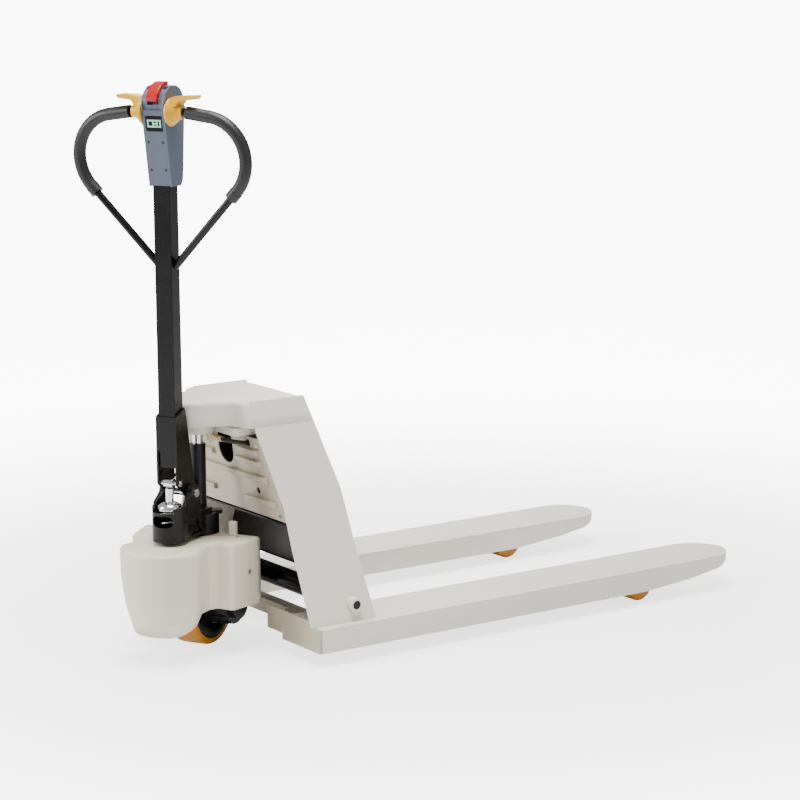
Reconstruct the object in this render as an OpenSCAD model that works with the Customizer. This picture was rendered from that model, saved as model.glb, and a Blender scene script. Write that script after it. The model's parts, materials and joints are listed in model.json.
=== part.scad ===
// Semi-electric pallet truck: a steering drive unit with a hand pump and a
// tiller, a lifting A-frame with two forks, and the linkage that puts the load
// rollers down as the frame rises. Millimetres, +Z up, forks along +Y.
// The forks are lowered, the tiller is upright and steered to one side.

/* [Forks] */
// Overall width over both forks
fork_span = 685; // [620:5:760]
// Fork length, heel to tip
fork_len = 1220; // [1150:10:1400]
// Width of one fork
fork_w = 158; // [140:1:170]
// Height of the fork's top face when lowered
fork_top = 85; // [82:1:95]
// Depth of the fork channel
fork_h = 54; // [48:1:58]
// Sheet thickness of the fork channel
fork_wall = 4; // [3:0.5:5]
// Length of the rounded fork tip
tip_len = 70; // [50:5:90]

/* [Frame] */
// Distance from the steering axis back to the fork heel
heel_gap = 107; // [104:1:125]
// Side plate's foot, inward from the fork's outer side
plate_inset = 26; // [20:1:32]
// Thickness of the side plates
plate_t = 6; // [4:1:8]
// Half width of the frame's head at its top
head_half = 127; // [110:1:140]
// Height of the frame's head
head_top = 566; // [530:1:620]
// Height of the head cover's side
cover_side = 54; // [40:1:60]
// Radius of the head's nose about the steering axis
nose_r = 76; // [60:1:78]
// Thickness of the ribbed front panel
panel_t = 3; // [2:0.5:4]
// Travel of the forks
lift = 115; // [80:1:115]

/* [Drive unit] */
// Drive wheel diameter over its tyre
wheel_d = 200; // [180:1:204]
// Tyre width
wheel_w = 70; // [50:1:72]
// Radius of the drive cover's nose
cover_r = 103; // [95:1:104]
// Nose centre, forward of the steering axis
cover_c = 147; // [135:1:150]
// Top of the drive cover
cover_top = 258; // [252:1:262]
// Wall of the drive cover
cover_wall = 4; // [3:0.5:5]
// Steering angle at rest
steer_rest = 30; // [0:1:40]
// Outer diameter of the lift cylinder
cyl_d = 36; // [34:1:44]
// Diameter of the chrome lift ram
ram_d = 24; // [18:1:26]

/* [Tiller] */
// Tiller axis, forward of the steering axis
mast_off = 115; // [112:1:120]
// Width of the mast tube
mast_w = 42; // [36:1:44]
// Depth of the mast tube
mast_d = 36; // [30:1:38]
// Pivot pin, forward of the steering axis
pivot_off = 85; // [82:1:88]
// Height of the pivot pin
pivot_z = 368; // [360:1:372]
// Tilt of the tiller, down towards the operator
tilt_max = 70; // [45:1:70]
// Diameter of the handle tube
bar_d = 17; // [14:0.5:20]
// Diameter of the grips
grip_d = 28; // [24:1:32]
// Radius of the grips' bend
grip_r = 95; // [88:1:100]
// Overall height of the truck
total_h = 1278; // [1260:1:1300]

/* [Linkage] */
// Load roller diameter
roller_d = 80; // [70:1:80]
// Load roller width
roller_w = 90; // [70:1:96]
// Load roller axle, back from the fork heel
roller_back = 930; // [850:1:1000]
// Roller bracket length, pivot to axle
bracket_len = 130; // [125:1:145]
// Crank shaft, back from the steering axis
shaft_y = 214; // [208:1:220]
// Height of the crank shaft when lowered
shaft_z = 121; // [118:1:126]

/* [Hidden] */
$fn = 48;
run = 0.05;        // radial clearance of a running fit
gap = 0.5;         // clearance between parts that pass each other
face = 0.3;        // clearance between parts that nearly touch

// where the steering axis lies: the box over all is centred on the origin
steer_y = -(heel_gap + fork_len - cover_c * cos(steer_rest) - cover_r) / 2;
fork_x = (fork_span - fork_w) / 2;
fork_bot = fork_top - fork_h;

// the side plates lean inwards from the forks to the head
foot_x = fork_span / 2 - plate_inset;
lean = atan((foot_x - head_half) / (head_top - fork_top));
function plate_x(z) = foot_x - (z - fork_top) * tan(lean);
plate_skin = plate_t / cos(lean);
cover_low = head_top - cover_side;
plate_front = [[98, fork_top], [92, 251], [93, 337], [62, cover_low]];
plate_foot = 268;
plate_back = [[200, head_top], [248, 363], [253, 240], [plate_foot, fork_top]];
foot_seat = 1; // how far the side plates are let into the forks

// linkage: crank swing, push rods and roller brackets
seat_low = 214;
seat_h = 26;
seat_z = seat_low + seat_h / 2;
trunnion_d = 16;
crank_rest = atan((seat_z - shaft_z) / shaft_y);
crank_end = atan((seat_z - shaft_z - lift) / shaft_y);
crank_swing = crank_rest - crank_end;
crank_reach = sqrt(pow(shaft_y, 2) + pow(seat_z - shaft_z, 2));
axle_z = roller_d / 2;
bracket_z = axle_z;
bracket_swing = asin(lift / bracket_len);
lever_k = tan(crank_swing / 2) / tan(bracket_swing / 2);
rod_z = (bracket_z + lever_k * shaft_z) / (1 + lever_k);
lever_len = (shaft_z - rod_z) / cos(crank_swing / 2);
rod_travel = 2 * lever_len * sin(crank_swing / 2);
yoke_len = rod_travel / (2 * sin(bracket_swing / 2));
roller_y = heel_gap + roller_back;
bracket_y = roller_y - bracket_len;
lever_pin_y = shaft_y - lever_len * sin(crank_swing / 2);
yoke_pin_y = bracket_y - yoke_len * sin(bracket_swing / 2);
shaft_d = 20;
tube_r = 24;
lever_t = 8;
lever_in = 8.5;      // from the middle of the fork to a lever plate
boss_x = fork_x + lever_in + lever_t + gap;
rod_d = 14;
rod_pin_d = 12;
yoke_pin_d = 10;
bracket_pin_d = 14;
axle_d = 20;
cheek_t = 8;
cheek_x = roller_w / 2 + 2 + cheek_t / 2;

// drive unit
base_r = 45;
base_low = seat_low + seat_h + 9;
base_top = 305;
spigot_r = 28;
cup_off = 128;
cup_r = 39.5;
cup_wall = 6;
cup_low = 266;
cup_top = 345;
dome_low = 336;
dome_h = 18;
dome_r = 28;
ear_u = mast_w / 2 + 8.5;
ear_t = 12;
ear_r = 19;
pivot_d = 16;
wheel_z = wheel_d / 2;
tyre_t = 14;
hub_t = 8;
cheek_u = wheel_w / 2 + 3;
cover_side_u = 150;  // half width of the drive cover at its back
cover_back = 10;     // its back edge, behind the steering axis
sweep_r = norm([cover_side_u, cover_back]) + 6;
sweep_x = sqrt(pow(sweep_r, 2) - pow(heel_gap - 6, 2)) + 2;

// tiller
socket_t = 5;
roller_pin_off = cup_off - 2;
roller_pin_z = 395;
tip_roller_r = 11;
rod_top = roller_pin_z - tip_roller_r - gap;
roller_arm = [roller_pin_off - pivot_off, roller_pin_z - pivot_z];
piston_travel = roller_arm[1] - roller_arm[1] * cos(tilt_max)
              + roller_arm[0] * sin(tilt_max) + 1;
head_u = 28;
face_lean = 9;            // the head's face leans forward towards its top
face_low = mast_off + 20; // its face at the bottom of the head
head_back = mast_off - 42;
head_low = total_h - 226;
face_len = 172;           // length of the face plate
crown_off = mast_off + 3; // the head's round crown
crown_z = total_h - 53;
crown_r = 45;
belly_r = total_h - crown_z;
belly_from = 14;          // the belly button's span round the crown, from the
belly_to = 94;            // front upwards
belly_press = 40;         // the direction it is pressed in
belly_travel = 6;
button_at = 62;           // where the small buttons lie round the crown
handle_lean = 4;          // the handle leans forward from where it is welded
weld_z = total_h - 388;
weld_off = mast_off - 2;
bar_slope = 8;
rod_slope = 46.5;
grip_cu = 112;
grip_cz = total_h - 166;
bar_flat = 66;            // half length of the handle's level middle
arc_top = [grip_cu + grip_r * sin(bar_slope), grip_cz + grip_r * cos(bar_slope)];
arc_low = [grip_cu + grip_r * sin(rod_slope), grip_cz - grip_r * cos(rod_slope)];
bar_z = arc_top[1] + (arc_top[0] - bar_flat) * tan(bar_slope);
rod_end_u = mast_w / 2 - 2;
rod_end = [rod_end_u, arc_low[1] - (arc_low[0] - rod_end_u) * tan(rod_slope)];
wing_off = weld_off + (bar_z - weld_z) * sin(handle_lean);
wing_z = weld_z + (bar_z - weld_z) * cos(handle_lean);
sleeve_r = 12;
wing_end = 62;            // where the throttle's collars end

// ---- helpers ---------------------------------------------------------------

module at_axis() {
    translate([0, steer_y, 0]) children();
}

// Places the drive unit: forward of the steering axis is -Y, turned by the
// steering angle at rest.
module steered() {
    at_axis() rotate([0, 0, steer_rest]) children();
}

module both_sides() {
    for (s = [-1, 1]) scale_x(s) children();
}

module scale_x(s) {
    if (s < 0) mirror([1, 0, 0]) children();
    else children();
}

// A bar along X, centred at x = 0.
module bar_x(r, len) {
    rotate([0, 90, 0]) cylinder(r = r, h = len, center = true);
}

// A plate standing across X between two values, from points [y, z].
module plate_yz(points, x0, x1) {
    translate([x0, 0, 0]) rotate([90, 0, 90])
        linear_extrude(height = x1 - x0) polygon(points);
}

// The same for the drive unit, from points [forward, z].
module plate_fz(points, u0, u1) {
    plate_yz([for (p = points) [-p[0], p[1]]], u0, u1);
}

module slab(x0, x1, y0, y1, z0, z1) {
    translate([x0, y0, z0]) cube([x1 - x0, y1 - y0, z1 - z0]);
}

// ---- root ------------------------------------------------------------------

module bearing_seat() {
    color("dimgray") at_axis() difference() {
        union() {
            translate([0, 0, seat_low]) cylinder(r = spigot_r + 14, h = seat_h);
            translate([0, 0, seat_z]) bar_x(trunnion_d / 2, 2 * (spigot_r + 34));
        }
        translate([0, 0, seat_low - 1])
            cylinder(r = spigot_r + run, h = seat_h + 2);
    }
}

module thrust_bearing() {
    color("silver") at_axis() translate([0, 0, seat_low + seat_h]) difference() {
        cylinder(r = spigot_r + 13, h = 8.7);
        translate([0, 0, -1]) cylinder(r = spigot_r + face, h = 12);
    }
}

// ---- drive unit ------------------------------------------------------------

module pump_casting() {
    color("#1c1c1e") steered() difference() {
        union() {
            translate([0, 0, base_low]) cylinder(r = base_r, h = base_top - base_low);
            translate([0, -cup_off, cup_low]) cylinder(r = cup_r, h = cup_top - cup_low);
            slab(-34, 34, -cup_off + 20, 0, cup_low, 318);
            for (s = [-1, 1]) scale_x(s) casting_ear();
            // oval flange behind the cylinder
            hull() {
                translate([0, 0, 299]) cylinder(r = 22, h = 8, $fn = 32);
                translate([30, 26, 299]) cylinder(r = 14, h = 8, $fn = 32);
            }
        }
        translate([0, -cup_off, cup_low + cup_wall])
            cylinder(r = cup_r - cup_wall, h = cup_top);
        // the lift cylinder's socket
        translate([0, 0, base_low + 20]) cylinder(d = cyl_d, h = base_top);
        // room for the foot of the tiller between the ears
        slab(-ear_u, ear_u, -cup_off, -cyl_d / 2 - 14, 322, base_top + 200);
        // a pocket in each side, with a rib left standing below the ear
        both_sides() plate_fz([[cup_off - 34, 272], [cup_off - 44, 318], [44, 272]], 27, 60);
        // the oval window in front of the cup
        translate([0, -cup_off - cup_r, 314]) rotate([90, 0, 0])
            linear_extrude(height = 60, center = true) {
                square([26, 26], center = true);
                for (s = [-13, 13]) translate([s, 0]) circle(d = 26);
            }
        // the rim of the cup dips towards the operator
        translate([0, -cup_off - cup_r - 4, cup_top + 23]) rotate([0, 90, 0])
            cylinder(r = 34, h = 200, center = true);
        // room for the tiller's cheeks at its lowest
        slab(-mast_w / 2 - 7, mast_w / 2 + 7, -cup_off - cup_r - 1, -cup_off, 333, cup_top + 1);
        translate([0, -pivot_off, pivot_z]) bar_x(pivot_d / 2 + run, 200);
    }
}

module casting_ear() {
    plate_fz([[cup_off + 6, cup_low + 40], [cup_off + 2, 350],
              [pivot_off + ear_r, pivot_z], [pivot_off - ear_r, pivot_z],
              [pivot_off - ear_r - 6, 300], [pivot_off - ear_r - 6, cup_low + 30]],
             ear_u, ear_u + ear_t);
    translate([ear_u + ear_t / 2, -pivot_off, pivot_z]) bar_x(ear_r, ear_t);
}

module lift_cylinder() {
    color("#202022") steered() translate([0, 0, base_low + 20]) difference() {
        cylinder(d = cyl_d, h = 462 - base_low - 20);
        translate([0, 0, 12]) cylinder(d = ram_d + 2 * run, h = 400);
    }
}

module steer_spigot() {
    color("gray") steered() difference() {
        translate([0, 0, seat_low - 2]) cylinder(r = spigot_r, h = base_low - seat_low + 2);
        translate([0, 0, seat_low - 3]) cylinder(r = spigot_r - 8, h = 100);
    }
}

module wheel_yoke() {
    color("#1c1c1e") steered() {
        translate([0, 0, wheel_d + 3]) cylinder(r = 40, h = seat_low - 5 - wheel_d);
        difference() {
            union() {
                slab(-cheek_u - 6, -cheek_u, -20, 20, wheel_z, wheel_d + 4);
                translate([-cheek_u - 3, 0, wheel_z]) bar_x(34, 6);
            }
            translate([-cheek_u - 3, 0, wheel_z]) bar_x(axle_d / 2, 8);
        }
        slab(cheek_u, cheek_u + 6, -20, 20, wheel_z + 50.2, wheel_d + 4);
    }
}

module drive_motor() {
    color("#232325") steered() translate([0, 0, wheel_z]) difference() {
        union() {
            translate([cheek_u + 3, 0, 0]) bar_x(50, 6);
            translate([cheek_u + 6 + 24, 0, 0]) bar_x(46, 48);
            translate([cheek_u + 6 + 48 + 6, 0, 0]) bar_x(34, 12);
            for (a = [0 : 30 : 330]) rotate([a, 0, 0])
                translate([cheek_u + 12, -1.5, 44]) cube([36, 3, 5]);
        }
        bar_x(axle_d / 2, 2 * cheek_u + 60);
    }
}

module wheel_axle() {
    color("silver") steered() translate([0, 0, wheel_z])
        rotate([0, 90, 0]) translate([0, 0, -cheek_u - 12])
            cylinder(d = axle_d, h = 2 * cheek_u + 42);
}

module wheel_hub() {
    color("#2a2a2c") steered() translate([0, 0, wheel_z]) difference() {
        rotate([0, 90, 0]) rotate_extrude() polygon([
            [axle_d / 2 + 12, -wheel_w / 2 + 4], [40, -wheel_w / 2 + 4],
            [48, -10], [wheel_z - tyre_t - hub_t, -wheel_w / 2 + 1],
            [wheel_z - tyre_t, -wheel_w / 2 + 1], [wheel_z - tyre_t, wheel_w / 2 - 1],
            [wheel_z - tyre_t - hub_t, wheel_w / 2 - 1], [48, 10],
            [40, wheel_w / 2 - 4], [axle_d / 2 + 12, wheel_w / 2 - 4]]);
        for (a = [0 : 60 : 300]) rotate([a, 0, 0])
            translate([0, 0, 60]) bar_x(6, wheel_w);
    }
}

module wheel_bearings() {
    color("silver") steered() translate([0, 0, wheel_z])
        for (s = [-1, 1]) translate([s * (wheel_w / 2 - 12), 0, 0]) difference() {
            bar_x(axle_d / 2 + 12, 14);
            bar_x(axle_d / 2 + run, 16);
        }
}

module drive_tyre() {
    color("goldenrod") steered() translate([0, 0, wheel_z])
        rotate([0, 90, 0]) rotate_extrude($fn = 96) polygon([
            [wheel_z - tyre_t, -wheel_w / 2], [wheel_z - 5, -wheel_w / 2],
            [wheel_z - 1.5, -wheel_w / 2 + 5], [wheel_z, -wheel_w / 2 + 12],
            [wheel_z, wheel_w / 2 - 12], [wheel_z - 1.5, wheel_w / 2 - 5],
            [wheel_z - 5, wheel_w / 2], [wheel_z - tyre_t, wheel_w / 2]]);
}

// Outline of the drive cover seen from above, drawn t inside its outer skin.
module cover_plan(t) {
    translate([0, -cover_c]) circle(r = cover_r - t, $fn = 96);
    polygon([for (s = [1, -1]) each [for (p = cover_side_points(t, s)) p]]);
}

function cover_side_points(t, s) =
    let (back = -cover_back - (t > 0 ? 20 : 0),
         half = [[96 - t, cover_c + 36], [88 - t, 128], [88 - t, 78 + t],
                 [126 - t, 74 - t], [cover_side_u - t, back], [60, back]])
    [for (i = [0 : 5]) let (p = half[s > 0 ? i : 5 - i]) [s * p[0], -p[1]]];

// The cover's foot: low under the nose, higher at the sides.
module cover_foot() {
    plate_fz([[-200, -1], [-200, 104], [110, 104], [188, 68], [220, 65],
              [400, 65], [400, -1]], -300, 300);
}

module drive_cover() {
    color("#dcd7cc") steered() difference() {
        linear_extrude(height = cover_top) cover_plan(0);
        cover_foot();
        translate([0, 0, -1])
            linear_extrude(height = cover_top - cover_wall + 1) cover_plan(cover_wall);
        translate([0, 0, cover_top - 20]) cylinder(r = base_r + face, h = 40);
        slab(-base_r - face, base_r + face, 0, 40, cover_top - 20, cover_top + 20);
    }
}

module cover_lugs() {
    color("#e6e1d6") steered()
        for (s = [-1, 1]) slab(s * 88 - 9, s * 88 + 9, -8, 4, cover_top, cover_top + 32);
}

module cover_screws() {
    // how far the cover's side turns outwards towards its back
    rake = atan((cover_side_u - 126) / (74 + cover_back));
    color("silver") steered() for (s = [-1, 1]) {
        translate([s * 108, -20, cover_top]) cylinder(r = 4, h = 3);
        translate([s * cover_side_u, cover_back, 185]) rotate([0, 0, -s * rake])
            translate([s * 2, -38, 0]) bar_x(6, 4);
    }
}

module pivot_pin() {
    color("silver") steered() translate([0, -pivot_off, pivot_z]) {
        bar_x(pivot_d / 2, 2 * (ear_u + ear_t) + 1);
        for (s = [-1, 1]) translate([s * (ear_u + ear_t + 2.5), 0, 0]) bar_x(9, 4);
    }
}

// ---- pump piston -----------------------------------------------------------

module pump_piston() {
    color("silver") steered() translate([0, -cup_off, 0]) {
        translate([0, 0, dome_low + dome_h]) cylinder(d = 18, h = rod_top - dome_low - dome_h);
    }
}

module spring_cap() {
    color("silver") steered() translate([0, -cup_off, dome_low]) rotate_extrude()
        polygon([[0, 0], [dome_r, 0], [dome_r, 6], [dome_r - 3, 11],
                 [dome_r - 9, 15], [12, dome_h], [0, dome_h]]);
}

// A compression spring, swept as one tube along its helix.
module pump_spring() {
    turns = 3;
    steps = 16;
    sides = 6;
    wire = 1.6;
    coil = 21;
    low = cup_low + cup_wall + wire + face;
    high = dome_low - wire - face;
    count = turns * steps;
    rings = [for (i = [0 : count]) let (a = i * 360 / steps,
             z = low + (high - low) * i / count)
             [for (k = [0 : sides - 1]) let (b = k * 360 / sides,
              r = coil + wire * cos(b)) [r * cos(a), r * sin(a), z + wire * sin(b)]]];
    color("gray") steered() translate([0, -cup_off, 0]) polyhedron(
        points = [for (ring = rings) each ring],
        faces = concat(
            [[for (k = [0 : sides - 1]) k]],
            [for (i = [0 : count - 1]) for (k = [0 : sides - 1])
                [i * sides + k, (i + 1) * sides + k,
                 (i + 1) * sides + (k + 1) % sides, i * sides + (k + 1) % sides]],
            [[for (k = [sides - 1 : -1 : 0]) count * sides + k]]));
}

// ---- tiller ----------------------------------------------------------------

module tiller_socket() {
    front = mast_off + mast_d / 2 + face;
    color("#19191b") steered() difference() {
        union() {
            for (s = [-1, 1]) scale_x(s) {
                plate_fz([[front + 4, 545], [front + 4, 393], [pivot_off + 14, pivot_z - 4],
                          [pivot_off - 14, pivot_z - 4], [pivot_off - 20, 400],
                          [mast_off - 24, 540], [mast_off - 18, 562]],
                         mast_w / 2 + 0.2, mast_w / 2 + socket_t);
                translate([mast_w / 2 + 0.2 + (socket_t - 0.2) / 2, -pivot_off, pivot_z])
                    bar_x(15, socket_t - 0.2);
            }
            slab(-mast_w / 2 - 1, mast_w / 2 + 1, -front - 4, -front, 467, 545);
        }
        translate([0, -pivot_off, pivot_z]) bar_x(pivot_d / 2 + run, 200);
        translate([0, -roller_pin_off, roller_pin_z]) bar_x(5, 200);
    }
}

module mast_tube() {
    color("#19191b") steered() difference() {
        slab(-mast_w / 2, mast_w / 2, -mast_off - mast_d / 2, -mast_off + mast_d / 2,
             430, head_low + 60);
        slab(-mast_w / 2 + 3, mast_w / 2 - 3, -mast_off - mast_d / 2 + 3,
             -mast_off + mast_d / 2 - 3, 429, head_low + 61);
    }
}

module roller_pin() {
    color("silver") steered() translate([0, -roller_pin_off, roller_pin_z]) {
        bar_x(5, mast_w + 2 * socket_t + 1);
        for (s = [-1, 1]) translate([s * (mast_w / 2 + socket_t + 1.5), 0, 0]) bar_x(7, 2);
    }
}

module pump_roller() {
    color("silver") steered() translate([0, -roller_pin_off, roller_pin_z]) difference() {
        bar_x(tip_roller_r, 22);
        bar_x(5 + run, 24);
    }
}

// The handle's own plane leans forward from its weld to the mast.
module on_handle() {
    steered() translate([0, -weld_off, weld_z]) rotate([handle_lean, 0, 0])
        translate([0, 0, -weld_z]) children();
}

// A round bar between two points [u, z] of the tiller's plane.
module bar_uz(a, b, r) {
    d = b - a;
    translate([a[0], 0, a[1]]) rotate([0, atan2(d[0], d[1]), 0])
        cylinder(r = r, h = norm(d));
}

// A piece of the grip's arc between two angles from the vertical.
module arc_uz(r, a0, a1, hollow = 0) {
    translate([grip_cu, 0, grip_cz]) rotate([90, 0, 0]) rotate([0, 0, 90 - a1])
        rotate_extrude(angle = a1 - a0, $fn = 96) translate([grip_r, 0])
            difference() {
                circle(r = r, $fn = 32);
                if (hollow > 0) circle(r = hollow, $fn = 32);
            }
}

// One tube: level where it passes through the head, then a bend at each side
// and a straight rod down to the mast.
module handle_bars() {
    color("#202022") on_handle() {
        translate([0, 0, bar_z]) bar_x(bar_d / 2, 2 * bar_flat);
        both_sides() {
            translate([bar_flat, 0, bar_z]) sphere(r = bar_d / 2 + 0.2);
            bar_uz([bar_flat, bar_z], arc_top, bar_d / 2);
            arc_uz(bar_d / 2 - 0.1, bar_slope, 180 - rod_slope);
            difference() {
                bar_uz(rod_end, arc_low, bar_d / 2);
                slab(-mast_w, mast_w / 2, -40, 40, 800, rod_end[1] + 40);
            }
        }
    }
}

// A straight piece of rubber sleeve round the bar from a to b.
module sleeve_uz(a, b, r) {
    difference() {
        bar_uz(a, b, r);
        bar_uz(a - (b - a), b + (b - a), bar_d / 2);
    }
}

// A rubber sleeve over one bend, with a thicker end at each side of it.
module grip() {
    on_handle() {
        arc_uz(grip_d / 2, bar_slope, 180 - rod_slope, bar_d / 2 - 0.05);
        sleeve_uz(arc_top - 55 * [cos(bar_slope), -sin(bar_slope)], arc_top, grip_d / 2 + 0.3);
        sleeve_uz(arc_low - 20 * [cos(rod_slope), sin(rod_slope)], arc_low, grip_d / 2 + 0.8);
    }
}

module right_grip() {
    color("#3a3a3c") grip();
}

module left_grip() {
    color("#3a3a3c") steered() mirror([1, 0, 0]) rotate([0, 0, -steer_rest])
        translate([0, -steer_y, 0]) grip();
}

// The face's own frame: its bottom edge at the origin, +Z up along it and -Y
// straight out of it.
module on_face() {
    steered() translate([0, -face_low, head_low]) rotate([face_lean, 0, 0]) children();
}

// A block round the crown between two radii and two angles.
module crown_block(r0, r1, a0, a1, half) {
    steered() translate([0, -crown_off, crown_z]) rotate([0, 90, 0])
        rotate([0, 0, -90 - a1]) rotate_extrude(angle = a1 - a0, $fn = 96)
            translate([r0, -half]) square([r1 - r0, 2 * half]);
}

module head_shell() {
    face_top = face_low + face_len * sin(face_lean);
    color("#69717d") difference() {
        steered() {
            plate_fz([[face_low, head_low], [face_top, head_low + face_len * cos(face_lean)],
                      [head_back, crown_z], [head_back + 12, head_low + 14],
                      [head_back + 20, head_low]], -head_u, head_u);
            translate([0, -crown_off, crown_z]) bar_x(crown_r, 2 * head_u);
        }
        steered() {
            slab(-head_u + 3, head_u - 3, -face_low + 8, -head_back - 22,
                 head_low + 66, wing_z - 22);
            slab(-mast_w / 2 - face, mast_w / 2 + face, -mast_off - mast_d / 2 - face,
                 -mast_off + mast_d / 2 + face, head_low - 1, head_low + 62);
            translate([0, -wing_off, wing_z]) bar_x(sleeve_r + run, 100);
        }
        crown_block(belly_r - 20, belly_r + 20, belly_from - 8, belly_to + 8, 14);
        small_buttons(5.3, 16, top = 2);
        on_face() slab(-head_u + 3, head_u - 3, -4, 4, -1, face_len + 40);
    }
}

// The small buttons lie beside the belly button.
module small_buttons(r, h, sides = [-1, 1], top = 1) {
    steered() for (s = sides) translate([s * 20.5, -crown_off, crown_z])
        rotate([90 - button_at, 0, 0])
            translate([0, 0, crown_r - h + top]) cylinder(r = r, h = h);
}

module head_faceplate() {
    color("#5f6773") on_face() difference() {
        slab(-head_u + 3.3, head_u - 3.3, 0, 3.2, 2, face_len - 4);
        slab(-21, 21, -1, 2, 122, 156);
        for (s = [-1, 1]) for (z = [37, 98]) translate([s * 18, -1, z])
            rotate([-90, 0, 0]) cylinder(r = 3, h = 3);
        slab(-mast_w / 2 - face, mast_w / 2 + face, 1.6, 4, 0, 64);
    }
}

module display() {
    color("#101412") on_face() slab(-20.5, 20.5, 0.4, 2, 122.5, 155.5);
}

module head_screws() {
    color("#303236") on_face() for (s = [-1, 1]) for (z = [37, 98])
        translate([s * 18, 0.6, z]) rotate([-90, 0, 0]) cylinder(r = 2.7, h = 1.4);
}

module belly_button() {
    color("#c81e1e") crown_block(belly_r - 13, belly_r, belly_from, belly_to, 13.5);
}

module horn_button() {
    color("#1d2430") small_buttons(5, 10, [-1]);
}

module speed_button() {
    color("#1d2430") small_buttons(5, 10, [1]);
}

// The throttle turns on the handle's tube: a sleeve through the head with a
// flanged wing on each end.
module throttle_shaft() {
    color("silver") steered() translate([0, -wing_off, wing_z]) difference() {
        bar_x(sleeve_r, 2 * wing_end);
        bar_x(bar_d / 2 + run, 2 * wing_end + 2);
    }
}

module throttle_wings() {
    root = head_u + 1.5;
    color("#f2b81c") steered() translate([0, -wing_off, wing_z]) both_sides() difference() {
        union() {
            rotate([0, 90, 0]) rotate_extrude() polygon([
                [0, root], [30, root], [31, root + 4], [27, root + 9], [19, root + 18],
                [15.5, root + 25], [14.5, wing_end], [0, wing_end]]);
            translate([0, 20, 0]) rotate([90, 0, 0]) linear_extrude(height = 38)
                polygon([[root + 5, 10], [root + 5, 24], [root + 14, 33], [60, 36], [93, 37],
                         [96, 33], [90, 28], [60, 25], [root + 22, 14]]);
        }
        bar_x(sleeve_r, 200);
    }
}

// ---- frame -----------------------------------------------------------------

// One fork: a pressed channel, open below, with a rounded, tapered tip.
module fork() {
    tip = heel_gap + fork_len;
    slot = 30;
    difference() {
        union() {
            slab(-fork_w / 2, fork_w / 2, heel_gap, tip - tip_len, fork_bot, fork_top);
            intersection() {
                slab(-fork_w / 2, fork_w / 2, tip - tip_len, tip, fork_bot, fork_top);
                translate([0, tip - tip_len, 0]) scale_y_disc();
            }
        }
        slab(-fork_w / 2 + fork_wall, fork_w / 2 - fork_wall, heel_gap - 1,
             tip - tip_len - 2, fork_bot - 1, fork_top - fork_wall);
        // the underside rises towards the tip
        plate_yz([[tip - 290, fork_bot - 1], [tip + 1, fork_bot - 1],
                  [tip + 1, fork_top - 12], [tip - 60, fork_bot + 26],
                  [tip - 150, fork_bot + 12], [tip - 290, fork_bot]], -fork_w, fork_w);
        // a shallow seat for the side plate's foot
        slab(foot_x - fork_x - plate_t / cos(lean) - 2, foot_x - fork_x + 0.5,
             heel_gap - 1, plate_foot + 0.5, fork_top - foot_seat, fork_top + 1);
        // the crank's lever passes through the top
        slab(-slot, slot, shaft_y - 60, shaft_y + 46, fork_top - 10, fork_top + 10);
        translate([0, bracket_y, bracket_z]) bar_x(bracket_pin_d / 2, fork_w + 2);
    }
}

module scale_y_disc() {
    r = fork_w / 2 + 8;
    intersection() {
        translate([-r + fork_w / 2, tip_len - r, 0]) cylinder(r = r, h = 200, $fn = 96);
        translate([r - fork_w / 2, tip_len - r, 0]) cylinder(r = r, h = 200, $fn = 96);
    }
}

module left_fork() {
    color("#dedad0") at_axis() mirror([1, 0, 0]) translate([fork_x, 0, 0]) fork();
}

module right_fork() {
    color("#dedad0") at_axis() translate([fork_x, 0, 0]) fork();
}

// A leaning side plate, its outline given as points [y, z].
module side_plate() {
    outline = concat(plate_front, [[64, head_top]], plate_back);
    at_axis() difference() {
        intersection() {
            plate_yz([[0, fork_top], [0, head_top + 1], [300, head_top + 1],
                      [300, fork_top - foot_seat], [heel_gap, fork_top - foot_seat],
                      [heel_gap, fork_top]], 0, fork_span);
            translate([foot_x, 0, fork_top]) rotate([0, -lean, 0]) translate([-plate_t, 0, -20])
                plate_yz([for (p = outline) [p[0], 20 + (p[1] - fork_top) / cos(lean)
                          - (p[1] == fork_top ? 20 : 0) + (p[1] == head_top ? 20 : 0)]],
                         0, plate_t);
        }
        translate([0, shaft_y, shaft_z]) rotate([0, 90, 0]) cylinder(d = shaft_d + 12, h = 600);
    }
}

module right_side_plate() {
    color("#e0ddd6") side_plate();
}

module left_side_plate() {
    color("#e0ddd6") mirror([1, 0, 0]) side_plate();
}

// Plan of the head, t inside its outer face at height z.
function head_plan(z, t) =
    let (x = plate_x(z) - t, n = 16)
    concat([[x, 202 - t], [x, 84]],
           [for (i = [0 : n]) let (a = 90 - i * 180 / n)
               [(nose_r - t) * sin(a), -(nose_r - t) * cos(a)]],
           [[-x, 84], [-x, 202 - t]]);

module head_cover() {
    color("#e3dfd8") at_axis() difference() {
        translate([0, 0, cover_low])
            linear_extrude(height = cover_side) polygon(head_plan(head_top, 0));
        translate([0, 0, cover_low - 1])
            linear_extrude(height = cover_side - 3) polygon(head_plan(head_top, 4 + plate_skin));
        // the leaning side plates stand beside the cover's sides
        both_sides() plate_lean_cut();
    }
}

module plate_lean_cut() {
    translate([foot_x, 0, fork_top]) rotate([0, -lean, 0])
        translate([-plate_t - face, 60, -50]) cube([400, 400, 800]);
}

module head_block() {
    color("#c9c4ba") at_axis() difference() {
        union() {
            translate([0, 0, 488]) cylinder(r = 40, h = 26);
            slab(-112, 112, 30, 90, 490, 508);
            // the lug that the battery lead's gland is screwed into
            slab(14, gland_at[0], 16, 36, 468, 492);
        }
        translate([0, 0, 487]) cylinder(d = ram_d + 2 * face, h = 20);
    }
}

module lift_ram() {
    color("silver") at_axis()
        translate([0, 0, base_low + 36]) cylinder(d = ram_d, h = 506.5 - base_low - 36);
}

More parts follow.
